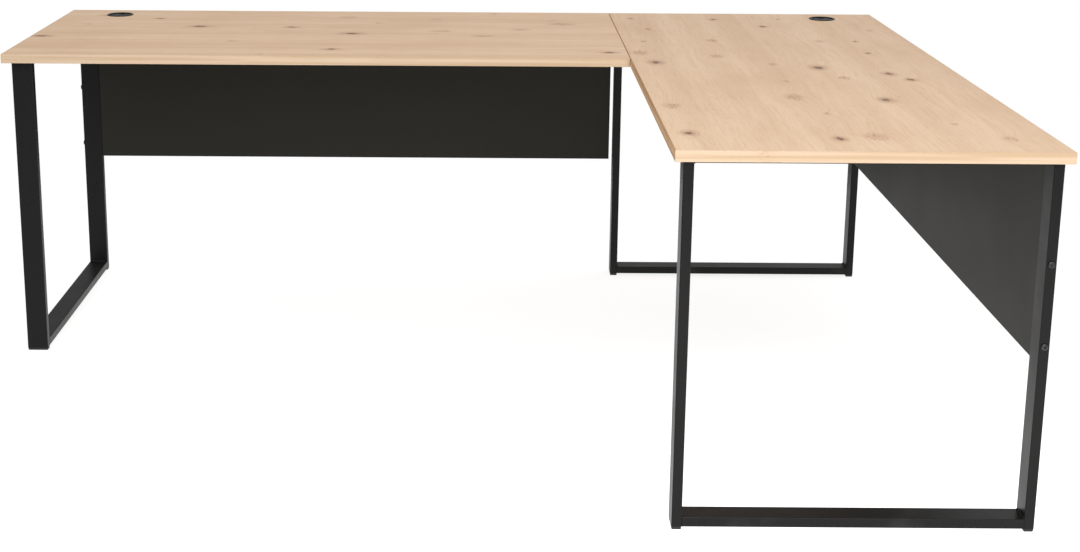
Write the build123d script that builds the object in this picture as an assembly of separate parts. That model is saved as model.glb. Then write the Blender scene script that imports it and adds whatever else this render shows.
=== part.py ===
"""Corner desk: two wood-decor tops in an L, three sled frames, two modesty panels and two cable grommets.

Millimetres, +Z up. The origin is on the floor under the middle of the desk's outline. +X runs along the
long back edge and +Y points from the user to the back.
"""
from build123d import *
import os

# Whole desk
LENGTH_X = 2230.0
LENGTH_Y = 1700.0
DESK_HEIGHT = 750.0
TOP_DEPTH = 730.0
TOP_THICKNESS = 22.0
SEAM_GAP = 1.0
TOP_BAND = 1.5
TOP_BAND_RADIUS = 1.0

# Sled frames of rectangular tube
TUBE_WIDTH = 50.0
TUBE_HEIGHT = 20.0
TUBE_WALL = 2.0
TUBE_RADIUS = 2.0
FRAME_LENGTH = 696.0
FRAME_SIDE_INSET = 17.0
LEFT_FRAME_END_INSET = 20.0
RIGHT_FRAME_END_INSET = 8.0
TOP_BAR_THICKNESS = 3.0
GLIDE_HEIGHT = 6.0
GLIDE_INSET = 0.6
GLIDE_CHAMFER = 1.2
GLIDE_PLUG_LENGTH = 12.0
GLIDE_PLUG_CLEARANCE = 0.1

# Modesty panels
PANEL_THICKNESS = 16.0
PANEL_HEIGHT = 390.0
PANEL_BAND = 1.0
PANEL_BAND_RADIUS = 0.6
LEFT_PANEL_SEAM_OVERLAP = 7.0

# Panel bolts and the threaded inserts that take them
BOLT_HEIGHTS = (375.0, 535.0)
BOLT_DIAMETER = 6.0
BOLT_HOLE_DIAMETER = 6.6
BOLT_HEAD_DIAMETER = 14.0
BOLT_HEAD_HEIGHT = 3.2
BOLT_SOCKET = 4.0
BOLT_SOCKET_DEPTH = 1.8
BOLT_LENGTH = 62.0
INSERT_DIAMETER = 10.0
INSERT_LENGTH = 15.0
INSERT_CLEARANCE = 0.1

# Screws into the tops and panels
SCREW_DIAMETER = 4.8
SCREW_HEAD_DIAMETER = 9.5
SCREW_HEAD_HEIGHT = 2.6
SCREW_LENGTH = 16.0
SCREW_RECESS_WIDTH = 1.1
SCREW_RECESS_LENGTH = 4.6
SCREW_RECESS_DEPTH = 1.4
SCREW_HOLE_CLEARANCE = 0.15
PANEL_SCREW_LENGTH = 12.0
FRAME_SCREW_OFFSETS = (60.0, 124.0)

# Flat steel plates under the seam between the two tops
PLATE_LENGTH = 160.0
PLATE_WIDTH = 60.0
PLATE_RADIUS = 6.0
PLATE_SCREW_X = 55.0
PLATE_SCREW_Y = 18.0
PLATE_DISTANCES = {"front": 590.0, "middle": 365.0, "back": 140.0}

# Angle brackets between the left top and the left panel
BRACKET_LEG = 26.0
BRACKET_LENGTH = 60.0
BRACKET_THICKNESS = 2.0
BRACKET_SCREW_X = 18.0
BRACKET_SCREW_OFFSET = 15.0
BRACKET_DISTANCES = {"middle": 720.0, "right": 70.0}

# Cable grommets: a flanged sleeve and a cap that turns in it
GROMMET_END_DISTANCE = 150.0
GROMMET_BACK_DISTANCE = 90.0
SLEEVE_RADIUS = 30.0
SLEEVE_BORE_RADIUS = 28.2
SLEEVE_HOLE_RADIUS = 30.15
SLEEVE_LENGTH = 20.0
FLANGE_RADIUS = 35.0
FLANGE_HEIGHT = 2.2
FLANGE_FILLET = 1.2
LEDGE_RADIUS = 26.4
LEDGE_DEPTH = 3.6
LEDGE_THICKNESS = 1.6
CAP_RADIUS = 27.8
CAP_THICKNESS = 3.4
CAP_LIFT = 0.4
CAP_FILLET = 0.5
CAP_SKIRT_RADIUS = 25.8
CAP_SKIRT_WALL = 1.6
CAP_SKIRT_LENGTH = 7.0
CAP_SLOT_WIDTH = 17.0
CAP_SLOT_START = 8.0
CAP_DIMPLE_RADIUS = 3.0
CAP_DIMPLE_DEPTH = 0.8

# Derived planes
LEFT = -LENGTH_X / 2
RIGHT = LENGTH_X / 2
FRONT = -LENGTH_Y / 2
BACK = LENGTH_Y / 2
SEAM = RIGHT - TOP_DEPTH
LEFT_TOP_FRONT = BACK - TOP_DEPTH
UNDERSIDE = DESK_HEIGHT - TOP_THICKNESS
BAR_BOTTOM = UNDERSIDE - TOP_BAR_THICKNESS
PANEL_BOTTOM = UNDERSIDE - PANEL_HEIGHT

# Where the frames and panels stand
LEFT_FRAME_CENTRE = (LEFT + LEFT_FRAME_END_INSET + TUBE_WIDTH / 2, BACK - TOP_DEPTH / 2)
NEAR_FRAME_CENTRE = (SEAM + TOP_DEPTH / 2, FRONT + RIGHT_FRAME_END_INSET + TUBE_WIDTH / 2)
CORNER_FRAME_CENTRE = (SEAM + TOP_DEPTH / 2, BACK - RIGHT_FRAME_END_INSET - TUBE_WIDTH / 2)
LEFT_PANEL_Y = BACK - FRAME_SIDE_INSET - TUBE_HEIGHT / 2
SIDE_PANEL_X = RIGHT - FRAME_SIDE_INSET - TUBE_HEIGHT / 2
LEFT_PANEL_LEFT = LEFT_FRAME_CENTRE[0] + TUBE_WIDTH / 2
LEFT_PANEL_RIGHT = SEAM + LEFT_PANEL_SEAM_OVERLAP
SIDE_PANEL_FRONT = NEAR_FRAME_CENTRE[1] + TUBE_WIDTH / 2
SIDE_PANEL_REAR = CORNER_FRAME_CENTRE[1] - TUBE_WIDTH / 2


def save(name, shape):
    """Write one sub-part to its own file."""
    export_step(shape, f"parts/{name}.step")


def save_group(name, shapes):
    """Write identical fasteners to one file as separate solids."""
    save(name, Compound(children=shapes))


def box_between(low, high):
    """A box from its lowest to its highest corner."""
    size = [b - a for a, b in zip(low, high)]
    middle = [(a + b) / 2 for a, b in zip(low, high)]
    return Pos(*middle) * Box(*size)


def holes(points, radius, bottom, top):
    """Upright cylinders to be cut away at the given points."""
    height = top - bottom
    return [Pos(x, y, (bottom + top) / 2) * Cylinder(radius, height) for x, y in points]


def pan_screw(length):
    """A pan-head screw pointing up from z = 0, with a cross recess in the head below."""
    head = Pos(0, 0, -SCREW_HEAD_HEIGHT / 2) * Cylinder(SCREW_HEAD_DIAMETER / 2, SCREW_HEAD_HEIGHT)
    rim = head.edges().filter_by(GeomType.CIRCLE).group_by(Axis.Z)[0]
    head = fillet(rim, SCREW_HEAD_HEIGHT * 0.6)
    tip = SCREW_DIAMETER * 0.35
    shank = Pos(0, 0, (length - tip) / 2) * Cylinder(SCREW_DIAMETER / 2, length - tip)
    point = Pos(0, 0, length - tip / 2) * Cone(SCREW_DIAMETER / 2, SCREW_DIAMETER / 8, tip)
    screw = head + shank + point
    for angle in (0, 90):
        recess = Box(SCREW_RECESS_LENGTH, SCREW_RECESS_WIDTH, 2 * SCREW_RECESS_DEPTH)
        screw -= Pos(0, 0, -SCREW_HEAD_HEIGHT) * Rot(0, 0, angle) * recess
    return screw


def panel_bolt():
    """A button-head bolt pointing up from z = 0, with a hexagon socket in the head below."""
    head = Pos(0, 0, -BOLT_HEAD_HEIGHT / 2) * Cylinder(BOLT_HEAD_DIAMETER / 2, BOLT_HEAD_HEIGHT)
    rim = head.edges().filter_by(GeomType.CIRCLE).group_by(Axis.Z)[0]
    head = fillet(rim, BOLT_HEAD_HEIGHT * 0.75)
    shank = Pos(0, 0, BOLT_LENGTH / 2) * Cylinder(BOLT_DIAMETER / 2, BOLT_LENGTH)
    socket_outline = RegularPolygon(BOLT_SOCKET / 2, 6, major_radius=False)
    socket = extrude(Pos(0, 0, -BOLT_HEAD_HEIGHT) * socket_outline, amount=BOLT_SOCKET_DEPTH)
    return head + shank - socket


def threaded_insert():
    """A plain sleeve that stands for the threaded insert, running up from z = 0."""
    sleeve = Cylinder(INSERT_DIAMETER / 2, INSERT_LENGTH)
    sleeve -= Cylinder(BOLT_DIAMETER / 2 + INSERT_CLEARANCE, INSERT_LENGTH)
    return Pos(0, 0, INSERT_LENGTH / 2) * sleeve


def band_strip(low, high, outward, radius):
    """A flat edge band whose outer long edges are rounded. outward is the axis and side it faces."""
    strip = box_between(low, high)
    axis, side = outward
    along = Axis.Y if axis == Axis.X else Axis.X
    outer_face = strip.faces().sort_by(axis)[0 if side < 0 else -1]
    return fillet(outer_face.edges().filter_by(along), radius)


def banded_top(name, low_x, high_x, low_y, high_y, screws, grommet):
    """One worktop: a board with drilled underside and four edge bands."""
    core_low = (low_x + TOP_BAND, low_y + TOP_BAND, UNDERSIDE)
    core_high = (high_x - TOP_BAND, high_y - TOP_BAND, DESK_HEIGHT)
    board = box_between(core_low, core_high)
    pilot = SCREW_DIAMETER / 2 + SCREW_HOLE_CLEARANCE
    board -= holes(screws, pilot, UNDERSIDE - 1, UNDERSIDE + SCREW_LENGTH)
    board -= holes([grommet], SLEEVE_HOLE_RADIUS, UNDERSIDE - 1, DESK_HEIGHT + 1)
    save(f"{name}_board", board)
    long_bands = {
        "front_band": ((low_x, low_y), (high_x, low_y + TOP_BAND), (Axis.Y, -1)),
        "back_band": ((low_x, high_y - TOP_BAND), (high_x, high_y), (Axis.Y, 1)),
    }
    short_bands = {
        "left_band": ((low_x, low_y + TOP_BAND), (low_x + TOP_BAND, high_y - TOP_BAND), (Axis.X, -1)),
        "right_band": ((high_x - TOP_BAND, low_y + TOP_BAND), (high_x, high_y - TOP_BAND), (Axis.X, 1)),
    }
    for side, (low, high, outward) in (long_bands | short_bands).items():
        strip = band_strip((*low, UNDERSIDE), (*high, DESK_HEIGHT), outward, TOP_BAND_RADIUS)
        save(f"{name}_{side}", strip)


def upright(drilled):
    """One upright tube, standing on z = GLIDE_HEIGHT and centred on the Z axis."""
    outer = RectangleRounded(TUBE_HEIGHT, TUBE_WIDTH, TUBE_RADIUS)
    inner_radius = TUBE_RADIUS - TUBE_WALL / 2
    inner = RectangleRounded(TUBE_HEIGHT - 2 * TUBE_WALL, TUBE_WIDTH - 2 * TUBE_WALL, inner_radius)
    tube = extrude(Pos(0, 0, GLIDE_HEIGHT) * (outer - inner), amount=BAR_BOTTOM - GLIDE_HEIGHT)
    if drilled:
        for height in BOLT_HEIGHTS:
            hole = Cylinder(BOLT_HOLE_DIAMETER / 2, TUBE_WIDTH + 2)
            tube -= Pos(0, 0, height) * Rot(90, 0, 0) * hole
    return tube


def floor_rail():
    """The tube on the floor between the two uprights, lying along X."""
    length = FRAME_LENGTH - 2 * TUBE_HEIGHT
    outer = RectangleRounded(TUBE_HEIGHT, TUBE_WIDTH, TUBE_RADIUS)
    inner_radius = TUBE_RADIUS - TUBE_WALL / 2
    inner = RectangleRounded(TUBE_HEIGHT - 2 * TUBE_WALL, TUBE_WIDTH - 2 * TUBE_WALL, inner_radius)
    tube = extrude(outer - inner, amount=length)
    return Pos(-length / 2, 0, GLIDE_HEIGHT + TUBE_HEIGHT / 2) * Rot(0, 90, 0) * tube


def top_bar(screw_points):
    """The flat bar across both uprights that is screwed to the underside of a top."""
    outline = RectangleRounded(FRAME_LENGTH, TUBE_WIDTH, TUBE_RADIUS)
    bar = extrude(Pos(0, 0, BAR_BOTTOM) * outline, amount=TOP_BAR_THICKNESS)
    clearance = SCREW_DIAMETER / 2 + SCREW_HOLE_CLEARANCE
    return bar - holes(screw_points, clearance, BAR_BOTTOM - 1, UNDERSIDE + 1)


def glide():
    """A plastic foot: a chamfered pad with a plug that fits up inside the tube."""
    pad_length = TUBE_WIDTH - 2 * GLIDE_INSET
    pad_width = TUBE_HEIGHT - 2 * GLIDE_INSET
    pad = extrude(RectangleRounded(pad_width, pad_length, TUBE_RADIUS), amount=GLIDE_HEIGHT)
    pad = chamfer(pad.faces().sort_by(Axis.Z)[0].edges(), GLIDE_CHAMFER)
    plug_gap = 2 * (TUBE_WALL + GLIDE_PLUG_CLEARANCE)
    plug = Box(TUBE_HEIGHT - plug_gap, TUBE_WIDTH - plug_gap, GLIDE_PLUG_LENGTH)
    plug = chamfer(plug.edges().filter_by(Axis.Z), TUBE_WALL / 2)
    return pad + Pos(0, 0, GLIDE_HEIGHT + GLIDE_PLUG_LENGTH / 2) * plug


def frame_screw_points():
    """The top bar's screw places, in the frame's own plan: X along it, Y across it."""
    ends = [FRAME_LENGTH / 2 - offset for offset in FRAME_SCREW_OFFSETS]
    return [(side * end, 0) for side in (-1, 1) for end in ends]


def build_frame(name, centre, turn, first_side, second_side):
    """One sled frame. The second upright carries a panel, so it is the drilled one."""
    place = Pos(*centre, 0) * Rot(0, 0, turn)
    reach = (FRAME_LENGTH - TUBE_HEIGHT) / 2
    for side, along, drilled in ((first_side, -reach, False), (second_side, reach, True)):
        save(f"{name}_{side}_upright", place * Pos(along, 0, 0) * upright(drilled))
        save(f"{name}_{side}_glide", place * Pos(along, 0, 0) * glide())
    save(f"{name}_floor_rail", place * floor_rail())
    points = frame_screw_points()
    save(f"{name}_top_bar", place * top_bar(points))
    screws = [place * Pos(x, y, BAR_BOTTOM) * pan_screw(SCREW_LENGTH) for x, y in points]
    save_group(f"{name}_top_screws", screws)


def turned_points(centre, turn):
    """The frame's screw places in the desk's plan, for the holes in the tops."""
    place = Pos(*centre, 0) * Rot(0, 0, turn)
    spots = [place * Pos(x, y, 0) for x, y in frame_screw_points()]
    return [(spot.position.X, spot.position.Y) for spot in spots]


def build_panel(name, low, high, along, end_names, insert_ends, screw_holes):
    """A modesty panel: a board and four edge bands, drilled at its ends for the inserts."""
    long_axis = Axis.X if along == 0 else Axis.Y
    core_low = list(low)
    core_high = list(high)
    for axis in (along, 2):
        core_low[axis] += PANEL_BAND
        core_high[axis] -= PANEL_BAND
    board = box_between(core_low, core_high)
    bands = {}
    for side, band_name in ((-1, "bottom_band"), (1, "top_band")):
        band_low = list(low)
        band_high = list(high)
        if side < 0:
            band_high[2] = core_low[2]
        else:
            band_low[2] = core_high[2]
        strip = box_between(band_low, band_high)
        edges = strip.faces().sort_by(Axis.Z)[0 if side < 0 else -1].edges().filter_by(long_axis)
        bands[band_name] = fillet(edges, PANEL_BAND_RADIUS)
    for side, end in zip((-1, 1), end_names):
        band_low = list(low)
        band_high = list(high)
        band_low[2] = core_low[2]
        band_high[2] = core_high[2]
        if side < 0:
            band_high[along] = core_low[along]
        else:
            band_low[along] = core_high[along]
        strip = box_between(band_low, band_high)
        edges = strip.faces().sort_by(long_axis)[0 if side < 0 else -1].edges().filter_by(Axis.Z)
        bands[f"{end}_band"] = fillet(edges, PANEL_BAND_RADIUS)
    drill = Cylinder(INSERT_DIAMETER / 2 + INSERT_CLEARANCE, 2 * (INSERT_LENGTH + 1))
    turn = Rot(0, 90, 0) if along == 0 else Rot(90, 0, 0)
    for end in insert_ends:
        side = end_names.index(end)
        spot = [(a + b) / 2 for a, b in zip(low, high)]
        spot[along] = (low, high)[side][along]
        for height in BOLT_HEIGHTS:
            spot[2] = height
            board -= Pos(*spot) * turn * drill
            bands[f"{end}_band"] -= Pos(*spot) * turn * drill
    if screw_holes:
        board -= screw_holes
    save(f"{name}_board", board)
    for band_name, strip in bands.items():
        save(f"{name}_{band_name}", strip)


def build_joint_plates():
    """Flat plates that tie the two tops together under the seam, with their screws."""
    screws = []
    hole_radius = SCREW_DIAMETER / 2 + SCREW_HOLE_CLEARANCE
    for label, distance in PLATE_DISTANCES.items():
        centre_y = BACK - distance
        outline = RectangleRounded(PLATE_LENGTH, PLATE_WIDTH, PLATE_RADIUS)
        plate = extrude(Pos(SEAM, centre_y, BAR_BOTTOM) * outline, amount=TOP_BAR_THICKNESS)
        points = plate_screw_points(centre_y)
        plate -= holes(points, hole_radius, BAR_BOTTOM - 1, UNDERSIDE + 1)
        save(f"joint_plate_{label}", plate)
        screws += [Pos(x, y, BAR_BOTTOM) * pan_screw(SCREW_LENGTH) for x, y in points]
    save_group("joint_plate_screws", screws)


def plate_screw_points(centre_y):
    """The four screw places of one joint plate."""
    offsets_x = (-PLATE_SCREW_X, PLATE_SCREW_X)
    offsets_y = (-PLATE_SCREW_Y, PLATE_SCREW_Y)
    return [(SEAM + x, centre_y + y) for x in offsets_x for y in offsets_y]


def bracket_spots():
    """The X place of each screw of each angle bracket."""
    return {
        label: [SEAM - distance + side * BRACKET_SCREW_X for side in (-1, 1)]
        for label, distance in BRACKET_DISTANCES.items()
    }


def bracket_top_points():
    """Where the angle brackets' screws enter the left top, in plan."""
    y = LEFT_PANEL_Y - PANEL_THICKNESS / 2 - BRACKET_SCREW_OFFSET
    return [(x, y) for spots in bracket_spots().values() for x in spots]


def bracket_panel_holes():
    """Pilot holes for the angle brackets' screws in the left panel."""
    radius = SCREW_DIAMETER / 2 + SCREW_HOLE_CLEARANCE
    face_y = LEFT_PANEL_Y - PANEL_THICKNESS / 2
    height = UNDERSIDE - BRACKET_SCREW_OFFSET
    depth = PANEL_SCREW_LENGTH + 1
    drill = Rot(90, 0, 0) * Cylinder(radius, 2 * depth)
    return [Pos(x, face_y, height) * drill for spots in bracket_spots().values() for x in spots]


def build_brackets():
    """Angle brackets that hold the left panel to the left top, with their screws."""
    face_y = LEFT_PANEL_Y - PANEL_THICKNESS / 2
    screw_height = UNDERSIDE - BRACKET_SCREW_OFFSET
    screw_y = face_y - BRACKET_SCREW_OFFSET
    radius = SCREW_DIAMETER / 2 + SCREW_HOLE_CLEARANCE
    screws = []
    for label, spots in bracket_spots().items():
        centre_x = sum(spots) / 2
        low_x = centre_x - BRACKET_LENGTH / 2
        high_x = centre_x + BRACKET_LENGTH / 2
        flat_low = (low_x, face_y - BRACKET_LEG, UNDERSIDE - BRACKET_THICKNESS)
        flat = box_between(flat_low, (high_x, face_y, UNDERSIDE))
        wall_low = (low_x, face_y - BRACKET_THICKNESS, UNDERSIDE - BRACKET_LEG)
        bracket = flat + box_between(wall_low, (high_x, face_y, UNDERSIDE))
        for x in spots:
            bracket -= Pos(x, screw_y, UNDERSIDE) * Cylinder(radius, BRACKET_LEG)
            bracket -= Pos(x, face_y, screw_height) * Rot(90, 0, 0) * Cylinder(radius, BRACKET_LEG)
            top_screw = Pos(x, screw_y, UNDERSIDE - BRACKET_THICKNESS)
            screws.append(top_screw * pan_screw(SCREW_LENGTH))
            panel_screw = Pos(x, face_y - BRACKET_THICKNESS, screw_height) * Rot(-90, 0, 0)
            screws.append(panel_screw * pan_screw(PANEL_SCREW_LENGTH))
        save(f"left_panel_bracket_{label}", bracket)
    save_group("left_panel_bracket_screws", screws)


def build_panel_bolts():
    """Bolts through the drilled uprights and the inserts in the panels' ends."""
    outer_x = LEFT_FRAME_CENTRE[0] - TUBE_WIDTH / 2
    front_y = NEAR_FRAME_CENTRE[1] - TUBE_WIDTH / 2
    rear_y = CORNER_FRAME_CENTRE[1] + TUBE_WIDTH / 2
    bolt = panel_bolt()
    insert = threaded_insert()
    toward_right = Rot(0, 90, 0)
    toward_back = Rot(-90, 0, 0)
    toward_front = Rot(90, 0, 0)
    left_spots = [(outer_x, LEFT_PANEL_Y, height) for height in BOLT_HEIGHTS]
    front_spots = [(SIDE_PANEL_X, front_y, height) for height in BOLT_HEIGHTS]
    rear_spots = [(SIDE_PANEL_X, rear_y, height) for height in BOLT_HEIGHTS]
    save_group("left_panel_bolts", [Pos(*spot) * toward_right * bolt for spot in left_spots])
    save_group("side_panel_front_bolts", [Pos(*spot) * toward_back * bolt for spot in front_spots])
    save_group("side_panel_rear_bolts", [Pos(*spot) * toward_front * bolt for spot in rear_spots])
    left_inserts = [Pos(TUBE_WIDTH, 0, 0) * Pos(*spot) * toward_right * insert for spot in left_spots]
    front_inserts = [Pos(0, TUBE_WIDTH, 0) * Pos(*spot) * toward_back * insert for spot in front_spots]
    rear_inserts = [Pos(0, -TUBE_WIDTH, 0) * Pos(*spot) * toward_front * insert for spot in rear_spots]
    save_group("left_panel_inserts", left_inserts)
    save_group("side_panel_inserts", front_inserts + rear_inserts)


def grommet_sleeve():
    """The flanged sleeve, with a ledge inside that carries the cap. z = 0 is the worktop's face."""
    barrel = Pos(0, 0, -SLEEVE_LENGTH / 2) * Cylinder(SLEEVE_RADIUS, SLEEVE_LENGTH)
    flange = Pos(0, 0, FLANGE_HEIGHT / 2) * Cylinder(FLANGE_RADIUS, FLANGE_HEIGHT)
    flange = fillet(flange.edges().group_by(Axis.Z)[-1], FLANGE_FILLET)
    bore_height = FLANGE_HEIGHT + LEDGE_DEPTH
    bore = Pos(0, 0, FLANGE_HEIGHT - bore_height / 2) * Cylinder(SLEEVE_BORE_RADIUS, bore_height)
    under_length = SLEEVE_LENGTH - LEDGE_DEPTH - LEDGE_THICKNESS
    under_bore = Pos(0, 0, -SLEEVE_LENGTH + under_length / 2) * Cylinder(SLEEVE_BORE_RADIUS, under_length)
    ledge_bore = Pos(0, 0, -SLEEVE_LENGTH / 2) * Cylinder(LEDGE_RADIUS, SLEEVE_LENGTH)
    return barrel + flange - bore - under_bore - ledge_bore


def grommet_cap():
    """The turning cap: a disc with a skirt, a cable slot open at its rim and a finger dimple."""
    bottom = CAP_LIFT - LEDGE_DEPTH
    disc = Pos(0, 0, bottom + CAP_THICKNESS / 2) * Cylinder(CAP_RADIUS, CAP_THICKNESS)
    disc = fillet(disc.edges().group_by(Axis.Z)[-1], CAP_FILLET)
    skirt = Cylinder(CAP_SKIRT_RADIUS, CAP_SKIRT_LENGTH)
    skirt -= Cylinder(CAP_SKIRT_RADIUS - CAP_SKIRT_WALL, CAP_SKIRT_LENGTH)
    cap = disc + Pos(0, 0, bottom - CAP_SKIRT_LENGTH / 2) * skirt
    slot_length = CAP_RADIUS - CAP_SLOT_START
    slot = Pos(0, CAP_SLOT_START + slot_length, 0) * Box(CAP_SLOT_WIDTH, 2 * slot_length, 2 * SLEEVE_LENGTH)
    dimple = Pos(0, 0, bottom + CAP_THICKNESS) * Cylinder(CAP_DIMPLE_RADIUS, 2 * CAP_DIMPLE_DEPTH)
    return cap - slot - dimple


os.makedirs("parts", exist_ok=True)

left_grommet = (LEFT + GROMMET_END_DISTANCE, BACK - GROMMET_BACK_DISTANCE)
right_grommet = (RIGHT - GROMMET_END_DISTANCE, BACK - GROMMET_BACK_DISTANCE)

plate_centres = [BACK - distance for distance in PLATE_DISTANCES.values()]
plate_points = [point for centre_y in plate_centres for point in plate_screw_points(centre_y)]
left_screws = turned_points(LEFT_FRAME_CENTRE, 90) + bracket_top_points()
left_screws += [point for point in plate_points if point[0] < SEAM]
right_screws = turned_points(NEAR_FRAME_CENTRE, 0) + turned_points(CORNER_FRAME_CENTRE, 0)
right_screws += [point for point in plate_points if point[0] > SEAM]

banded_top("left_top", LEFT, SEAM - SEAM_GAP / 2, LEFT_TOP_FRONT, BACK, left_screws, left_grommet)
banded_top("right_top", SEAM + SEAM_GAP / 2, RIGHT, FRONT, BACK, right_screws, right_grommet)

build_frame("left_frame", LEFT_FRAME_CENTRE, 90, "front", "rear")
build_frame("near_frame", NEAR_FRAME_CENTRE, 0, "left", "right")
build_frame("corner_frame", CORNER_FRAME_CENTRE, 0, "left", "right")

half_panel = PANEL_THICKNESS / 2
build_panel(
    "left_panel",
    (LEFT_PANEL_LEFT, LEFT_PANEL_Y - half_panel, PANEL_BOTTOM),
    (LEFT_PANEL_RIGHT, LEFT_PANEL_Y + half_panel, UNDERSIDE),
    0,
    ("left", "right"),
    ("left",),
    bracket_panel_holes(),
)
build_panel(
    "side_panel",
    (SIDE_PANEL_X - half_panel, SIDE_PANEL_FRONT, PANEL_BOTTOM),
    (SIDE_PANEL_X + half_panel, SIDE_PANEL_REAR, UNDERSIDE),
    1,
    ("front", "rear"),
    ("front", "rear"),
    [],
)

build_joint_plates()
build_brackets()
build_panel_bolts()

for side, (grommet_x, grommet_y) in (("left", left_grommet), ("right", right_grommet)):
    place = Pos(grommet_x, grommet_y, DESK_HEIGHT)
    save(f"{side}_grommet_sleeve", place * grommet_sleeve())
    save(f"{side}_grommet_cap", place * grommet_cap())
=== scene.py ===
import math
import random

import bmesh
import bpy
from mathutils import Matrix, Vector


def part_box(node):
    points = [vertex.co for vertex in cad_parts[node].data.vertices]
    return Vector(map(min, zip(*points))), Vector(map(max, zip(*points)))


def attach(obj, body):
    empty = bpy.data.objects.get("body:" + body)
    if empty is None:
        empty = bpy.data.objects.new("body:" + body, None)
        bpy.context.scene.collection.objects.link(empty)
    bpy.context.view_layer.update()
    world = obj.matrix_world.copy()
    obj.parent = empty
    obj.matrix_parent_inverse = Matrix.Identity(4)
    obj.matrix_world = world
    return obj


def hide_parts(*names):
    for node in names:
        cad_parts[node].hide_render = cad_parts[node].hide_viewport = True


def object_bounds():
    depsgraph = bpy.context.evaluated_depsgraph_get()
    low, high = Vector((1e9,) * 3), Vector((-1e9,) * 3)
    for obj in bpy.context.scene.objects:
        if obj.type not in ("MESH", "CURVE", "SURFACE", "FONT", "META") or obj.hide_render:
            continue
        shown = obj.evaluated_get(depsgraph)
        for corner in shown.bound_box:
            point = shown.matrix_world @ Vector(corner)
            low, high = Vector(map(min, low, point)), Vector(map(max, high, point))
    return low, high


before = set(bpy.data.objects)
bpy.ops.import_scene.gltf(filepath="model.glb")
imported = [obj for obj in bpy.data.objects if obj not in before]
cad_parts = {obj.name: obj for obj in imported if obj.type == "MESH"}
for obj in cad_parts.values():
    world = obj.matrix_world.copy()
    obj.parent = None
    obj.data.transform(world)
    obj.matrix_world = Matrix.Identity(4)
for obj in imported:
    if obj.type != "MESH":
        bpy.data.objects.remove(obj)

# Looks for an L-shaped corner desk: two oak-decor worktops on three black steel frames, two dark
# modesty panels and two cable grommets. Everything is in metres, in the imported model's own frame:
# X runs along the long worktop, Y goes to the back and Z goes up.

cad_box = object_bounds()
scene = bpy.context.scene

MAIN_BODY = "desk"
CAP_BODIES = {"left": "left_cap", "right": "right_cap"}
FRAMES = {"left": "Y", "near": "X", "corner": "X"}  # each frame, and the axis its floor rail follows
FRAME_SIDES = {"Y": ("front", "rear"), "X": ("left", "right")}

# Oak decor, as linear colours
OAK_LIGHT = (0.575, 0.416, 0.281)
OAK_MIDDLE = (0.530, 0.370, 0.242)
OAK_STREAK = (0.430, 0.268, 0.160)
OAK_PORE = (0.330, 0.190, 0.105)
OAK_KNOT_HALO = (0.300, 0.140, 0.068)
OAK_KNOT_EDGE = (0.220, 0.098, 0.048)
OAK_KNOT_CORE = (0.100, 0.052, 0.028)

# Edge bands: the front and back ones, and those along the boards' sides. The side ones are a browner, more
# saturated copy of the same band. That is painted shade for the dimmer light on the left-facing side, and it
# is used on both sides
BAND_LIGHT = (0.552, 0.412, 0.288)
BAND_STREAK = (0.440, 0.308, 0.192)
SHADED_SIDEBAND_LIGHT = (0.660, 0.410, 0.220)
SHADED_SIDEBAND_STREAK = (0.480, 0.275, 0.135)

# Knots: each board is divided into cells, and most of them get one knot at a random place
KNOT_CELL = 0.18
KNOT_MARGIN = 0.12  # a knot's middle stays this share of a cell away from the cell's sides
KNOT_SHARES = {"right": (0.30, 0.42), "left": (0.26, 0.36)}  # of the cells, with a dark and with a soft knot
KNOT_WIDTHS = {  # smallest and largest
    "right": {"dark": (0.010, 0.031), "soft": (0.014, 0.046)},
    "left": {"dark": (0.020, 0.046), "soft": (0.020, 0.070)},
}
KNOT_RARITY = 1.8  # above 1, large knots are rarer than small ones
KNOT_SEEDS = {"right": 1, "left": 9}  # chosen for knots spread much as on the real desk

NOISE_SPAN = (0.3, 0.7)  # where most of a noise texture's values lie
MIX_FACTOR, MIX_FIRST, MIX_SECOND, MIX_RESULT = 0, 6, 7, 2  # a Mix node's sockets for colours


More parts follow.
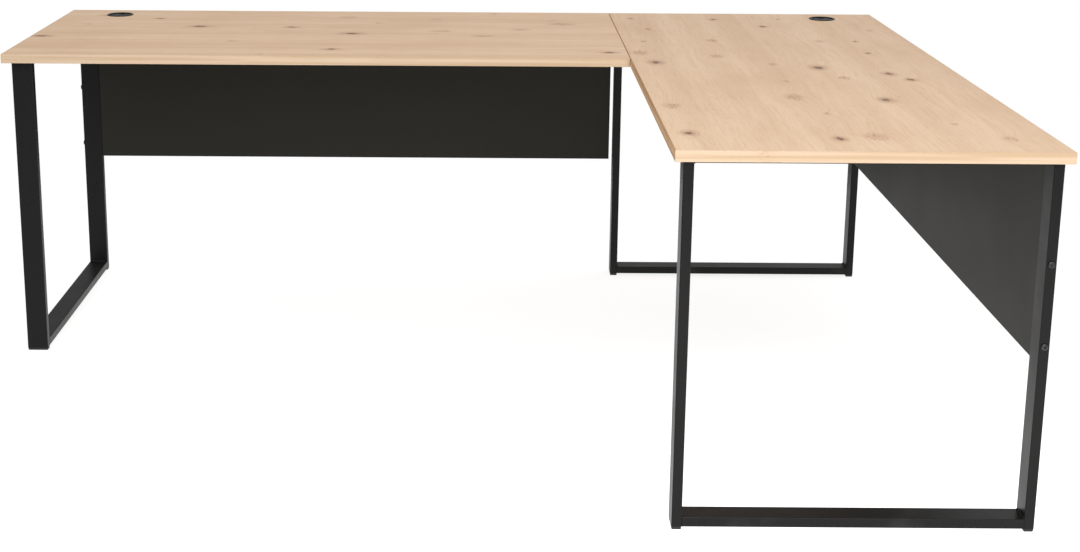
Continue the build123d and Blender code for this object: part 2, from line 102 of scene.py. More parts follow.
class Surface:
    """One material: a Principled shader, and a short call for each kind of node that feeds it."""

    def __init__(self, name):
        self.material = bpy.data.materials.new(name)
        self.material.use_nodes = True
        self.tree = self.material.node_tree
        self.tree.nodes.clear()
        output = self.node("OutputMaterial")
        self.shader = self.node("BsdfPrincipled")
        self.tree.links.new(self.shader.outputs["BSDF"], output.inputs["Surface"])
        self.place = self.node("TexCoord").outputs["Object"]

    def node(self, kind):
        return self.tree.nodes.new("ShaderNode" + kind)

    def feed(self, socket, value):
        """Links a node's output to the socket, or sets the socket to a plain value."""
        if isinstance(value, bpy.types.NodeSocket):
            self.tree.links.new(value, socket)
        elif isinstance(value, tuple) and len(socket.default_value) == len(value) + 1:
            socket.default_value = (*value, 1.0)
        else:
            socket.default_value = value

    def set(self, **values):
        """Sets the shader's sockets, named in lower case with _ for each space."""
        for name, value in values.items():
            title = name.replace("_", " ").title().replace("Ior", "IOR")
            self.feed(self.shader.inputs[title], value)

    def math(self, operation, *values):
        made = self.node("Math")
        made.operation = operation
        for socket, value in zip(made.inputs, values):
            self.feed(socket, value)
        return made.outputs[0]

    def vector(self, operation, *values):
        made = self.node("VectorMath")
        made.operation = operation
        for socket, value in zip(made.inputs, values):
            self.feed(socket, value)
        return made.outputs["Value" if operation == "LENGTH" else "Vector"]

    def noise(self, point, scale, detail=2.0, roughness=0.5, output=0):
        """Noise at a point. The scale, per metre, is one number or one for each axis."""
        if isinstance(scale, float):
            scale = (scale, scale, scale)
        made = self.node("TexNoise")
        self.feed(made.inputs["Vector"], self.vector("MULTIPLY", point, scale))
        made.inputs["Scale"].default_value = 1.0
        made.inputs["Detail"].default_value = detail
        made.inputs["Roughness"].default_value = roughness
        return made.outputs[output]

    def spread(self, value, low, high, to_low=0.0, to_high=1.0):
        """The value eased from low..high to to_low..to_high, and held at the ends."""
        made = self.node("MapRange")
        made.interpolation_type = "SMOOTHSTEP"
        for socket, number in zip(made.inputs[:5], (value, low, high, to_low, to_high)):
            self.feed(socket, number)
        return made.outputs[0]

    def mix(self, amount, first, second):
        made = self.node("Mix")
        made.data_type = "RGBA"
        self.feed(made.inputs[MIX_FACTOR], amount)
        self.feed(made.inputs[MIX_FIRST], first)
        self.feed(made.inputs[MIX_SECOND], second)
        return made.outputs[MIX_RESULT]

    def overlay(self, colour, value, span, strength, shade):
        """Lays up to this strength of a shade over the colour, as the value rises through the span."""
        return self.mix(self.spread(value, *span, 0.0, strength), colour, shade)

    def masked(self, strength, mask):
        return self.math("MULTIPLY", strength, mask)

    def bump(self, height, distance, under=None):
        made = self.node("Bump")
        made.inputs["Distance"].default_value = distance
        self.feed(made.inputs["Height"], height)
        if under is not None:
            self.feed(made.inputs["Normal"], under)
        return made.outputs["Normal"]

    def coordinate(self, axis):
        """One coordinate of the place in the desk's frame."""
        made = self.node("SeparateXYZ")
        self.feed(made.inputs[0], self.place)
        return made.outputs[axis]

    def grain_point(self, along):
        """The place as (across the grain, along it, through the board)."""
        if along == "Y":
            return self.place
        made = self.node("CombineXYZ")
        for socket, axis in zip(made.inputs, "YXZ"):
            self.feed(socket, self.coordinate(axis))
        return made.outputs[0]


# --- Wood ---

KNOT_LENGTH = {"Y": 1.5, "X": 1.0}  # a knot's length along the grain, in units of its width in X
KNOT_BREADTH = {"Y": 1.0, "X": 0.60}  # and its size across the grain

# A noise's scale per metre across the grain, along it and through the board, its detail and roughness
GRAIN_NOISES = {
    "bands": ((12.0, 0.25, 0.0), 1.0, 0.5),
    "broad": ((42.0, 1.9, 0.0), 3.0, 0.6),
    "fine": ((230.0, 7.0, 0.0), 3.0, 0.65),
    "flecks": ((170.0, 26.0, 0.0), 2.0, 0.6),
    "pores": ((800.0, 22.0, 0.0), 2.0, 0.5),
}
PATCHES_NOISE = ((5.0, 2.6, 0.0), 2.0, 0.5)
DASHES_NOISE = ((300.0, 70.0, 0.0), 2.0, 0.6)
RAGGED_NOISE = ((95.0, 55.0, 0.0), 3.0, 0.65)
WANDER_NOISE = ((3.0, 1.0, 0.0), 1.0, 0.5)

# The decor's layers from the bottom up: a noise, the span it rises through, its strength and its shade
BANDS_SPAN = (0.35, 0.65)
OAK_LAYERS = (
    ("patches", (0.45, 0.75), 0.30, OAK_STREAK),
    ("broad", (0.45, 0.80), 0.38, OAK_STREAK),
    ("fine", (0.42, 0.80), 0.55, OAK_STREAK),
    ("flecks", (0.58, 0.80), 0.40, OAK_PORE),
)
PORE_SPAN = (0.60, 0.75)
PORE_STRENGTH = 0.40
PORE_RELIEF = 0.8

RAGGED_REACH = (0.016, 0.030, 0.0)  # a knot's outline strays by up to half of this each way
RAGGED_MIDDLE = (0.008, 0.015, 0.0)  # that half, which centres the straying
BULGE_SPAN = 5.0  # the grain bends round a knot out to here, in the knot's own half widths
BULGE_HEIGHT = 0.014
WANDER_HEIGHT = 0.020

# Knots' spreads. Those named for dashes go by that noise, and RING_LINES by the rings' sine. The others
# go by the distance from the knot's middle in half widths. Then come the strengths at the two ends.
SOFT_SMUDGE = (0.0, 1.5, 0.34, 0.0)
SOFT_CRACKS = (0.5, 1.4, 1.0, 0.0)
CRACK_DASHES = (0.50, 0.62, 0.0, 0.72)
DARK_HALO = (0.5, 2.5, 0.55, 0.0)
HALO_DASHES = (0.35, 0.65, 0.55, 1.0)
RING_LINES = (0.2, 1.0, 0.0, 0.35)
RING_REACH = (0.9, 2.0, 1.0, 0.0)
DARK_CORE = (0.25, 1.0, 0.94, 0.0)
CORE_DASHES = (0.25, 0.45, 0.55, 1.0)
RING_PHASE = 13.0  # radians for each half width, which makes about two rings

OAK_GLOSS = 0.35
OAK_ROUGHNESS = (0.46, 0.54)
OAK_RELIEF = 0.00012


def scatter_knots(side):
    """Dark and soft knots for one worktop, each as (X, Y, width), where the width is along X."""
    low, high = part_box(f"{side}_top_board")
    draw = random.Random(KNOT_SEEDS[side])
    columns = round((high.x - low.x) / KNOT_CELL)
    rows = round((high.y - low.y) / KNOT_CELL)
    dark_share, soft_share = KNOT_SHARES[side]
    knots = {"dark": [], "soft": []}
    for column in range(columns):
        for row in range(rows):
            x = low.x + (column + draw.uniform(KNOT_MARGIN, 1 - KNOT_MARGIN)) * (high.x - low.x) / columns
            y = low.y + (row + draw.uniform(KNOT_MARGIN, 1 - KNOT_MARGIN)) * (high.y - low.y) / rows
            size = draw.random() ** KNOT_RARITY
            lot = draw.random()
            if lot > dark_share + soft_share:
                continue
            kind = "dark" if lot < dark_share else "soft"
            smallest, largest = KNOT_WIDTHS[side][kind]
            knots[kind].append((x, y, smallest + (largest - smallest) * size))
    return knots["dark"], knots["soft"]


def knot_distance(surface, point, along, knots):
    """How far a point lies from the nearest knot's centre, where 1 is that knot's edge."""
    nearest = None
    for x, y, width in knots:
        across_place, along_place = (x, y) if along == "Y" else (y, x)
        across_scale = 2 / (width * KNOT_BREADTH[along])
        along_scale = 2 / (width * KNOT_LENGTH[along])
        scale = (across_scale, along_scale, 0.0)
        shift = (-across_place * across_scale, -along_place * along_scale, 0.0)
        away = surface.vector("LENGTH", surface.vector("MULTIPLY_ADD", point, scale, shift))
        nearest = away if nearest is None else surface.math("MINIMUM", nearest, away)
    return nearest


def bent_grain(surface, point, nearest_knot):
    """The point moved across the grain, so that streaks wander and bend round the knots."""
    bulge = surface.spread(nearest_knot, 0.0, BULGE_SPAN, BULGE_HEIGHT, 0.0)
    wander = surface.noise(point, *WANDER_NOISE)
    bend = surface.node("CombineXYZ")
    surface.feed(bend.inputs[0], surface.math("MULTIPLY_ADD", wander, WANDER_HEIGHT, bulge))
    return surface.vector("ADD", point, bend.outputs[0])


def soft_knots_over(surface, colour, soft, dashes):
    """Brown smudges with a few broken cracks."""
    colour = surface.mix(surface.spread(soft, *SOFT_SMUDGE), colour, OAK_KNOT_HALO)
    cracks = surface.masked(surface.spread(soft, *SOFT_CRACKS), surface.spread(dashes, *CRACK_DASHES))
    return surface.mix(cracks, colour, OAK_KNOT_EDGE)


def dark_knots_over(surface, colour, dark, dashes):
    """A wide broken halo, growth rings round the edge, and a nearly black middle."""
    halo = surface.masked(surface.spread(dark, *DARK_HALO), surface.spread(dashes, *HALO_DASHES))
    colour = surface.mix(halo, colour, OAK_KNOT_HALO)
    rings = surface.math("SINE", surface.math("MULTIPLY", dark, RING_PHASE))
    lines = surface.masked(surface.spread(rings, *RING_LINES), surface.spread(dark, *RING_REACH))
    colour = surface.mix(lines, colour, OAK_KNOT_CORE)
    core = surface.masked(surface.spread(dark, *DARK_CORE), surface.spread(dashes, *CORE_DASHES))
    return surface.mix(core, colour, OAK_KNOT_CORE)


def oak_board(name, along, dark_knots, soft_knots):
    """Oak decor: long tone bands, fine streaks that bend round the knots, pores and broken knots."""
    surface = Surface(name)
    point = surface.grain_point(along)
    ragged = surface.noise(point, *RAGGED_NOISE, "Color")
    rough_point = surface.vector("MULTIPLY_ADD", ragged, RAGGED_REACH, point)
    rough_point = surface.vector("SUBTRACT", rough_point, RAGGED_MIDDLE)
    dark = knot_distance(surface, rough_point, along, dark_knots)
    soft = knot_distance(surface, rough_point, along, soft_knots)
    grain = bent_grain(surface, point, surface.math("MINIMUM", dark, soft))

    noises = {kind: surface.noise(grain, *settings) for kind, settings in GRAIN_NOISES.items()}
    noises["patches"] = surface.noise(point, *PATCHES_NOISE)
    dashes = surface.noise(rough_point, *DASHES_NOISE)
    pores = surface.spread(noises["pores"], *PORE_SPAN)

    colour = surface.mix(surface.spread(noises["bands"], *BANDS_SPAN), OAK_LIGHT, OAK_MIDDLE)
    for kind, span, strength, shade in OAK_LAYERS:
        colour = surface.overlay(colour, noises[kind], span, strength, shade)
    colour = surface.mix(surface.math("MULTIPLY", pores, PORE_STRENGTH), colour, OAK_PORE)
    colour = soft_knots_over(surface, colour, soft, dashes)
    colour = dark_knots_over(surface, colour, dark, dashes)

    relief = surface.math("SUBTRACT", noises["fine"], surface.math("MULTIPLY", pores, PORE_RELIEF))
    roughness = surface.spread(noises["broad"], *NOISE_SPAN, *OAK_ROUGHNESS)
    surface.set(base_color=colour, roughness=roughness, normal=surface.bump(relief, OAK_RELIEF),
                specular_ior_level=OAK_GLOSS)
    return surface.material


EDGE_SHADE_REACH = (0.0012, 0.0002)  # painted shade: a band's upper, rounded edge darkens between these depths below the top
EDGE_SHADE_FRONT = 0.15  # how much painted shade, on the front and back bands
EDGE_SHADE_SIDE = 0.70  # and on those along the sides, more, as a painted shadow for the seam between the tops
BAND_BROAD = ((120.0, 1.6, 120.0), 2.0, 0.5)  # noises, as for the boards
BAND_FINE = ((520.0, 5.0, 520.0), 3.0, 0.6)
BAND_FLECKS = ((650.0, 60.0, 650.0), 2.0, 0.5)
BAND_CLUSTERS = ((3.0, 6.0, 3.0), 1.0, 0.5)  # where the flecks gather
BAND_GLOSS = 0.25
BAND_ROUGHNESS = (0.55, 0.66)
BAND_RELIEF = 0.0001


def oak_band(name, along, light, streak, edge):
    """Edge band with the worktop's decor: streaks along it, and its upper edge darkened by this much painted
    shade.
    """
    surface = Surface(name)
    point = surface.grain_point(along)
    broad = surface.noise(point, *BAND_BROAD)
    fine = surface.noise(point, *BAND_FINE)
    flecks = surface.noise(point, *BAND_FLECKS)
    clusters = surface.noise(point, *BAND_CLUSTERS)
    colour = surface.overlay(light, broad, (0.38, 0.66), 0.90, streak)
    colour = surface.overlay(colour, fine, (0.45, 0.80), 0.50, streak)
    fleck_mask = surface.masked(surface.spread(flecks, 0.52, 0.62, 0.0, 0.75),
                                surface.spread(clusters, 0.60, 0.68))
    colour = surface.mix(fleck_mask, colour, OAK_PORE)
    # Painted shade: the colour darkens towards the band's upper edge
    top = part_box("right_top_board")[1].z
    span = [top - depth for depth in EDGE_SHADE_REACH]
    colour = surface.overlay(colour, surface.coordinate("Z"), span, edge, OAK_PORE)
    roughness = surface.spread(fine, *NOISE_SPAN, *BAND_ROUGHNESS)
    surface.set(base_color=colour, roughness=roughness, normal=surface.bump(fine, BAND_RELIEF),
                specular_ior_level=BAND_GLOSS)
    return surface.material


# --- Metal, plastic and the dark board ---

COAT_LIGHT = (0.0090, 0.0090, 0.0088)
COAT_DARK = (0.0050, 0.0050, 0.0050)
COAT_RUBBED = (0.05, 0.05, 0.048)
COAT_RUB_HEIGHTS = (0.006, 0.05)  # rubbed most at the first height above the floor, not at all at the second
COAT_RUB_STRENGTH = 0.5
COAT_GLOSS = 0.15
COAT_ROUGHNESS = (0.34, 0.41)
COAT_GRAIN = 0.00010
COAT_RIPPLE = 0.00006
PANEL_GLOSS = 0.13
PANEL_ROUGHNESS = (0.485, 0.515)
PANEL_RELIEF = 0.00005
PLASTIC_RELIEF = 0.00004
PLATING_RELIEF = 0.00002


def powder_coat():
    """Fine-textured black powder coat, a little smoother in patches and rubbed near the floor."""
    surface = Surface("powder_coat_black")
    texture = surface.noise(surface.place, 900.0)
    ripple = surface.noise(surface.place, 160.0, 1.0)
    handling = surface.noise(surface.place, 9.0, 3.0)
    low = surface.spread(surface.coordinate("Z"), *COAT_RUB_HEIGHTS, COAT_RUB_STRENGTH, 0.0)
    rub = surface.masked(low, surface.spread(handling, 0.5, 0.8))
    colour = surface.mix(surface.spread(texture, *NOISE_SPAN), COAT_DARK, COAT_LIGHT)
    colour = surface.mix(rub, colour, COAT_RUBBED)
    roughness = surface.spread(handling, *NOISE_SPAN, *COAT_ROUGHNESS)
    grain = surface.bump(texture, COAT_GRAIN)
    surface.set(base_color=colour, roughness=roughness, normal=surface.bump(ripple, COAT_RIPPLE, grain),
                specular_ior_level=COAT_GLOSS)
    return surface.material


def panel_board(name, light, dark):
    """Dark melamine with a fine pearl texture."""
    surface = Surface(name)
    pearl = surface.noise(surface.place, 650.0)
    cloud = surface.noise(surface.place, 5.0)
    colour = surface.mix(surface.spread(pearl, *NOISE_SPAN), dark, light)
    roughness = surface.spread(cloud, *NOISE_SPAN, *PANEL_ROUGHNESS)
    surface.set(base_color=colour, roughness=roughness, normal=surface.bump(pearl, PANEL_RELIEF),
                specular_ior_level=PANEL_GLOSS)
    return surface.material


def moulded_plastic(name, shade, rough, gloss):
    """Black moulded plastic with a fine spark-eroded texture."""
    surface = Surface(name)
    spark = surface.noise(surface.place, 1500.0)
    wear = surface.noise(surface.place, 60.0, 3.0)
    dark = (shade * 0.7,) * 3
    light = (shade * 1.3,) * 3
    colour = surface.mix(surface.spread(spark, *NOISE_SPAN), dark, light)
    roughness = surface.spread(wear, *NOISE_SPAN, rough - 0.05, rough + 0.06)
    surface.set(base_color=colour, roughness=roughness, normal=surface.bump(spark, PLASTIC_RELIEF),
                specular_ior_level=gloss)
    return surface.material


def plated_metal(name, light, dark, rough):
    """Plated steel or brass: metallic, with clouds in the plating and fine scratches."""
    surface = Surface(name)
    clouds = surface.noise(surface.place, 220.0, 3.0)
    scratches = surface.noise(surface.place, (1800.0, 90.0, 400.0))
    colour = surface.mix(surface.spread(clouds, *NOISE_SPAN), dark, light)
    roughness = surface.spread(scratches, 0.35, 0.7, rough - 0.06, rough + 0.10)
    surface.set(base_color=colour, metallic=1.0, roughness=roughness,
                normal=surface.bump(scratches, PLATING_RELIEF))
    return surface.material


RIGHT_OAK = oak_board("oak_right", "Y", *scatter_knots("right"))
LEFT_OAK = oak_board("oak_left", "X", *scatter_knots("left"))
LONG_BAND = oak_band("oak_band_along_x", "X", BAND_LIGHT, BAND_STREAK, EDGE_SHADE_FRONT)
# The bands along the boards' sides: the same band in browner colours, as painted shade
SHADED_SIDEBAND = oak_band("oak_band_along_y_painted_shade", "Y", SHADED_SIDEBAND_LIGHT, SHADED_SIDEBAND_STREAK, EDGE_SHADE_SIDE)
COAT = powder_coat()
PANEL = panel_board("melamine_black", (0.0200, 0.0197, 0.0162), (0.0160, 0.0157, 0.0130))
PANEL_BAND = panel_board("melamine_band", (0.012, 0.012, 0.012), (0.008, 0.008, 0.008))
GROMMET = moulded_plastic("grommet_plastic_black", shade=0.009, rough=0.38, gloss=0.20)
GLIDE = moulded_plastic("glide_plastic_black", shade=0.014, rough=0.55, gloss=0.35)
SCREW = plated_metal("zinc_screw", (0.60, 0.60, 0.58), (0.45, 0.45, 0.44), 0.34)
BRACKET = plated_metal("zinc_bracket", (0.52, 0.53, 0.53), (0.38, 0.39, 0.40), 0.42)
BRASS = plated_metal("brass_insert", (0.62, 0.46, 0.20), (0.45, 0.32, 0.13), 0.38)
BOLT = plated_metal("black_oxide", (0.060, 0.060, 0.062), (0.035, 0.035, 0.036), 0.38)

NODE_MATERIALS = (  # the first entry that is found in a node's name gives its material
    ("right_top_board", RIGHT_OAK), ("left_top_board", LEFT_OAK),
    ("top_front_band", LONG_BAND), ("top_back_band", LONG_BAND),
    ("top_left_band", SHADED_SIDEBAND), ("top_right_band", SHADED_SIDEBAND),
    ("panel_board", PANEL), ("_bolts", BOLT), ("inserts", BRASS),
    ("screws", SCREW), ("bracket", BRACKET), ("joint_plate", BRACKET), ("panel", PANEL_BAND),
    ("glide", GLIDE), ("grommet", GROMMET), ("frame", COAT),
)


def dress(obj, material):
    """Gives the object this one material."""
    obj.data.materials.clear()
    obj.data.materials.append(material)


def mesh_object(name, shape):
    """A new object in the scene from a bmesh, which is then freed."""
    mesh = bpy.data.meshes.new(name)
    shape.to_mesh(mesh)
    shape.free()
    made = bpy.data.objects.new(name, mesh)
    scene.collection.objects.link(made)
    return made


for node_name, node_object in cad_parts.items():
    dress(node_object, next(made for part, made in NODE_MATERIALS if part in node_name))


# --- Weld beads in the inside corners of the frames ---

BEAD_LEG = 0.0032  # how far a bead reaches along each face
BEAD_RIPPLE = 0.14  # the ripples' height, in units of the bead's own
BEAD_PITCH = 0.0034  # distance between ripples
BEAD_STEP = 0.0005
BEAD_SECTION = 6
BEAD_BELLY = 0.80  # the middle of the section, in units of a quarter circle's radius
BEAD_END_SIZE = 0.45  # a bead starts and ends at this share of its size
BEAD_END_GROWTH = 9.0  # and gains this many times its size per length of bead, up to its full size
BEAD_END_GAP = 0.003  # a bead stops short of the tube's rounded edge
BEAD_SINK = 0.0004  # a bead is rooted this far inside the metal


def bead_section(reach):
    """The bead's outline as (towards the side, up): a flattened quarter circle, rooted in the metal."""
    ring = []
    for index in range(BEAD_SECTION + 1):
        angle = math.pi / 2 * index / BEAD_SECTION
        belly = BEAD_BELLY + (1 - BEAD_BELLY) * abs(math.cos(2 * angle))
        ring.append((reach * math.cos(angle) * belly, reach * math.sin(angle) * belly))
    ring[0] = (reach, -BEAD_SINK)
    ring[-1] = (-BEAD_SINK, reach)
    ring.append((-BEAD_SINK, -BEAD_SINK))
    return ring


def weld_bead(name, corner, length_axis, side_axis, side_sign, up_sign, length):
    """A rippled fillet along length_axis, between the face towards side_sign and the one up or down."""
    shape = bmesh.new()
    count = int(length / BEAD_STEP)
    rings = []
    for step in range(count + 1):
        along = length * step / count
        taper = min(1.0, BEAD_END_SIZE + BEAD_END_GROWTH * min(step, count - step) / count)
        ripple = 1.0 + BEAD_RIPPLE * abs(math.sin(math.pi * along / BEAD_PITCH))
        verts = []
        for side, up in bead_section(BEAD_LEG * taper * ripple):
            place = Vector(corner)
            place[length_axis] += along - length / 2
            place[side_axis] += side * side_sign
            place[2] += up * up_sign
            verts.append(shape.verts.new(place))
        rings.append(verts)
    for first, second in zip(rings, rings[1:]):
        for index in range(len(first)):
            after = (index + 1) % len(first)
            shape.faces.new((first[index], first[after], second[after], second[index]))
    shape.faces.new(rings[0])
    shape.faces.new(list(reversed(rings[-1])))
    bmesh.ops.recalc_face_normals(shape, faces=shape.faces)
    for face in shape.faces:
        face.smooth = len(face.verts) == 4
    bead = mesh_object(name, shape)
    dress(bead, COAT)
    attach(bead, MAIN_BODY)


def weld_frame(label, rail_letter):
    """The four inside beads of one frame."""
    run_axis = "XY".index(rail_letter)
    depth_axis = 1 - run_axis
    rail_low, rail_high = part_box(f"{label}_frame_floor_rail")
    bar_low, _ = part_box(f"{label}_frame_top_bar")
    middle = (rail_low[depth_axis] + rail_high[depth_axis]) / 2
    length = rail_high[depth_axis] - rail_low[depth_axis] - 2 * BEAD_END_GAP
    sides = zip(FRAME_SIDES[rail_letter], (rail_low[run_axis], rail_high[run_axis]), (1, -1))
    for side, face, towards in sides:
        for level, height, up in (("floor", rail_high.z, 1), ("top", bar_low.z, -1)):
            corner = [0.0, 0.0, height]
            corner[run_axis] = face
            corner[depth_axis] = middle
            weld_bead(f"{label}_frame_{side}_{level}_weld", corner, depth_axis, run_axis,
                      towards, up, length)


for frame_label, rail_axis in FRAMES.items():
    weld_frame(frame_label, rail_axis)


# --- Grommet caps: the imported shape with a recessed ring, soft edges and a rounded slot ---

CAP_RADIUS = 0.0278
CAP_PROFILE = (  # (radius, height from the cap's top), from the middle of the top to that of the underside
    (0.0, -0.0009), (0.0020, -0.0008), (0.0030, -0.0003), (0.0035, 0.0), (0.0196, 0.0),
    (0.0199, -0.0004), (0.0208, -0.0004), (0.0211, 0.0), (0.0270, 0.0), (0.0275, -0.0002),
    (0.0278, -0.0007), (0.0278, -0.0034), (0.0258, -0.0034), (0.0258, -0.0104),
    (0.0242, -0.0104), (0.0242, -0.0034), (0.0, -0.0034),
)
CAP_SEGMENTS = 128
CAP_SLOT_WIDTH = 0.017
CAP_SLOT_START = 0.008  # from the cap's middle, towards the wall
CAP_SLOT_CORNER = 0.004
CAP_SLOT_END = 0.032  # past the cap's rim
CAP_CORNER_STEPS = 8
CAP_EDGE = 0.0003  # the softening of its edges
CAP_EDGE_SEGMENTS = 2
CAP_EDGE_ANGLE = math.radians(60)  # edges sharper than this are softened
CAP_SHARP_ANGLE = math.radians(40)  # and what is left sharper than this is shaded as an edge


def turned_cap(name, centre):
    """The cap's profile turned about its middle, as a closed mesh object."""
    shape = bmesh.new()
    rings = []
    for radius, height in CAP_PROFILE:
        if radius == 0.0:
            rings.append([shape.verts.new((centre.x, centre.y, centre.z + height))])
            continue
        ring = []
        for index in range(CAP_SEGMENTS):
            angle = 2 * math.pi * index / CAP_SEGMENTS
            place = (centre.x + radius * math.cos(angle), centre.y + radius * math.sin(angle),
                     centre.z + height)
            ring.append(shape.verts.new(place))
        rings.append(ring)
    for first, second in zip(rings, rings[1:]):
        for index in range(CAP_SEGMENTS):
            after = (index + 1) % CAP_SEGMENTS
            if len(first) == 1:
                corners = (first[0], second[index], second[after])
            elif len(second) == 1:
                corners = (first[index], second[0], first[after])
            else:
                corners = (first[index], second[index], second[after], first[after])
            shape.faces.new(corners)
    bmesh.ops.recalc_face_normals(shape, faces=shape.faces)
    return mesh_object(name, shape)


def slot_cutter(name, centre):
    """A block the size of the cable slot, with rounded inner corners."""
    half = CAP_SLOT_WIDTH / 2
    outline = [(half, CAP_SLOT_END), (-half, CAP_SLOT_END)]
    for side in (-1, 1):
        middle_x = side * (half - CAP_SLOT_CORNER)
        middle_y = CAP_SLOT_START + CAP_SLOT_CORNER
        steps = range(CAP_CORNER_STEPS + 1) if side < 0 else range(CAP_CORNER_STEPS, -1, -1)
        for step in steps:
            angle = math.pi / 2 * step / CAP_CORNER_STEPS
            outline.append((middle_x + side * CAP_SLOT_CORNER * math.cos(angle),
                            middle_y - CAP_SLOT_CORNER * math.sin(angle)))
    shape = bmesh.new()
    low = centre.z - CAP_SLOT_END
    verts = [shape.verts.new((centre.x + x, centre.y + y, low)) for x, y in outline]
    face = shape.faces.new(verts)
    grown = bmesh.ops.extrude_face_region(shape, geom=[face])
    raised = [item for item in grown["geom"] if isinstance(item, bmesh.types.BMVert)]
    bmesh.ops.translate(shape, verts=raised, vec=(0.0, 0.0, 2 * CAP_SLOT_END))
    bmesh.ops.recalc_face_normals(shape, faces=shape.faces)
    return mesh_object(name, shape)


def bake_modifiers(obj):
    """Puts the result of the object's modifiers into its mesh."""
    graph = bpy.context.evaluated_depsgraph_get()
    final = bpy.data.meshes.new_from_object(obj.evaluated_get(graph))
    obj.modifiers.clear()
    obj.data = final


def grommet_cap(side):
    """The cap of one grommet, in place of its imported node."""
    node = f"{side}_grommet_cap"
    low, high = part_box(node)
    # The slot cuts the rim at the back, so the middle is found from the front
    centre = Vector(((low.x + high.x) / 2, low.y + CAP_RADIUS, high.z))
    cap = turned_cap(f"{side}_grommet_cap_cover", centre)
    cutter = slot_cutter("slot_cutter", centre)
    cut = cap.modifiers.new("slot", "BOOLEAN")
    cut.operation = "DIFFERENCE"
    cut.solver = "EXACT"
    cut.object = cutter
    bake_modifiers(cap)
    bpy.data.objects.remove(cutter)
    soften = cap.modifiers.new("soft_edges", "BEVEL")
    soften.width = CAP_EDGE
    soften.segments = CAP_EDGE_SEGMENTS
    soften.limit_method = "ANGLE"
    soften.angle_limit = CAP_EDGE_ANGLE
    bake_modifiers(cap)
    cap.data.shade_smooth()
    cap.data.set_sharp_from_angle(angle=CAP_SHARP_ANGLE)
    dress(cap, GROMMET)
    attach(cap, CAP_BODIES[side])
    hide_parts(node)


for cap_side in CAP_BODIES:
    grommet_cap(cap_side)


# --- Floor, light and camera ---

FLOOR_RADIUS = 3.0
FLOOR_SEGMENTS = 96
FLOOR_CENTRE = (0.2, -1.0)
FLOOR_GAP = 0.0002  # keeps the floor from lying in the plane of the glides
FLOOR_ALBEDO = 0.22
FLOOR_GLOW = 0.84
PAINTED_POOL_MIDDLE = (0.7, -1.0)  # the middle of a painted pool of light, where the floor glows brightest, from the floor's centre
PAINTED_POOL_SPAN = (0.2, 2.4)  # from full to no extra painted light
PAINTED_POOL_GLOW = 1.75
STUDIO_LEAN = (0.25, -0.10, 0.96)  # the studio brightens towards this direction
STUDIO_SPAN = (-0.10, 0.75)  # from dim to bright along it
STUDIO_DIM = 0.16
STUDIO_BRIGHT = 1.24
KEY_PLACE = (0.7, -3.4, 2.6)  # a softbox in front, above and to the right
KEY_TARGET = (0.1, 0.0, 0.6)
KEY_SIZE = 2.2
KEY_POWER = 108.0


def make_floor():
    """A round white studio floor that glows evenly, and more in a painted pool of light in front to the
    right. It carries only a faint shadow.
    """
    shape = bmesh.new()
    bmesh.ops.create_circle(shape, cap_ends=True, segments=FLOOR_SEGMENTS, radius=FLOOR_RADIUS)
    floor = mesh_object("studio_floor", shape)
    floor.location = (*FLOOR_CENTRE, cad_box[0].z - FLOOR_GAP)
    surface = Surface("floor_white")
    # Painted light: the floor glows brighter in a pool in front of the desk, to the right
    away = surface.vector("LENGTH", surface.vector("SUBTRACT", surface.place, (*PAINTED_POOL_MIDDLE, 0.0)))
    glow_with_painted_pool = surface.spread(away, *PAINTED_POOL_SPAN, PAINTED_POOL_GLOW, FLOOR_GLOW)
    surface.set(base_color=(FLOOR_ALBEDO,) * 3, roughness=1.0, specular_ior_level=0.0,
                emission_color=(1.0, 1.0, 1.0), emission_strength=glow_with_painted_pool)
    dress(floor, surface.material)


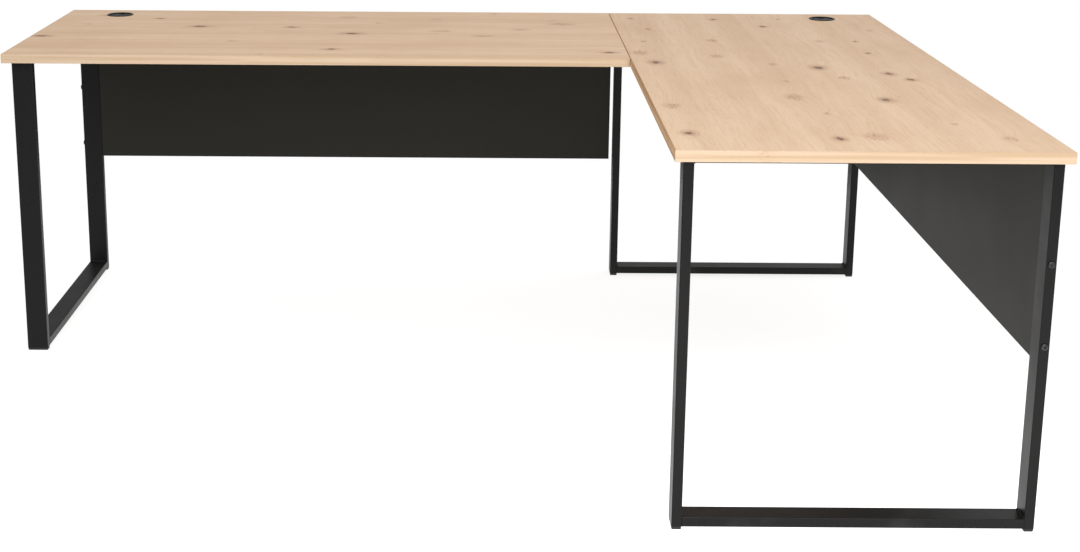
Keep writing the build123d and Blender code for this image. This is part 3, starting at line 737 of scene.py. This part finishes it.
def make_world():
    """White to the camera. As a light it is bright overhead, dim at the horizon and dimmer on the left."""
    world = bpy.data.worlds.new("studio")
    world.use_nodes = True
    scene.world = world
    tree = world.node_tree
    tree.nodes.clear()
    output = tree.nodes.new("ShaderNodeOutputWorld")
    backdrop = tree.nodes.new("ShaderNodeBackground")
    studio = tree.nodes.new("ShaderNodeBackground")
    either = tree.nodes.new("ShaderNodeMixShader")
    rays = tree.nodes.new("ShaderNodeLightPath")
    direction = tree.nodes.new("ShaderNodeTexCoord")
    lean = tree.nodes.new("ShaderNodeVectorMath")
    lean.operation = "DOT_PRODUCT"
    lean.inputs[1].default_value = STUDIO_LEAN
    level = tree.nodes.new("ShaderNodeMapRange")
    level.interpolation_type = "SMOOTHSTEP"
    for socket, number in zip(level.inputs[1:5], (*STUDIO_SPAN, STUDIO_DIM, STUDIO_BRIGHT)):
        socket.default_value = number
    tree.links.new(direction.outputs["Generated"], lean.inputs[0])
    tree.links.new(lean.outputs["Value"], level.inputs[0])
    tree.links.new(level.outputs[0], studio.inputs["Strength"])
    tree.links.new(rays.outputs["Is Camera Ray"], either.inputs[0])
    tree.links.new(studio.outputs[0], either.inputs[1])
    tree.links.new(backdrop.outputs[0], either.inputs[2])
    tree.links.new(either.outputs[0], output.inputs["Surface"])
    for background in (backdrop, studio):
        background.inputs["Color"].default_value = (1.0, 1.0, 1.0, 1.0)
    backdrop.inputs["Strength"].default_value = 1.0


def make_softbox(name, place, target, size, power):
    """A square area light at a place, turned to face a target."""
    data = bpy.data.lights.new(name, "AREA")
    data.shape = "SQUARE"
    data.size = size
    data.energy = power
    light = bpy.data.objects.new(name, data)
    light.location = place
    light.rotation_euler = (Vector(target) - Vector(place)).to_track_quat("-Z", "Y").to_euler()
    scene.collection.objects.link(light)


CAMERA_PLACE = (0.038, -3.810, 1.436)
CAMERA_PITCH = math.radians(13.14)  # below the horizon
CAMERA_TURN = math.radians(0.140)  # about Z, to the left of +Y
CAMERA_ROLL = math.radians(0.325)
CAMERA_LENS = 55.8  # with the sensor's width, in millimetres
CAMERA_SENSOR = 36.0
CAMERA_CLIP = (0.05, 100.0)
CAMERA_SHIFT = (0.0556, -0.115)


def make_camera():
    """A standpoint 1.4 m above the floor, in front of the desk's middle, looking a little downwards."""
    data = bpy.data.cameras.new("camera")
    data.lens = CAMERA_LENS
    data.sensor_width = CAMERA_SENSOR
    data.shift_x, data.shift_y = CAMERA_SHIFT
    data.clip_start, data.clip_end = CAMERA_CLIP
    camera = bpy.data.objects.new("camera", data)
    turn = Matrix.Rotation(CAMERA_TURN, 4, "Z")
    tilt = Matrix.Rotation(math.pi / 2 - CAMERA_PITCH, 4, "X")
    roll = Matrix.Rotation(CAMERA_ROLL, 4, "Z")
    camera.matrix_world = Matrix.Translation(CAMERA_PLACE) @ turn @ tilt @ roll
    scene.collection.objects.link(camera)
    scene.camera = camera


make_floor()
make_world()
make_softbox("key", KEY_PLACE, KEY_TARGET, KEY_SIZE, KEY_POWER)
make_camera()
scene.view_settings.view_transform = "Standard"
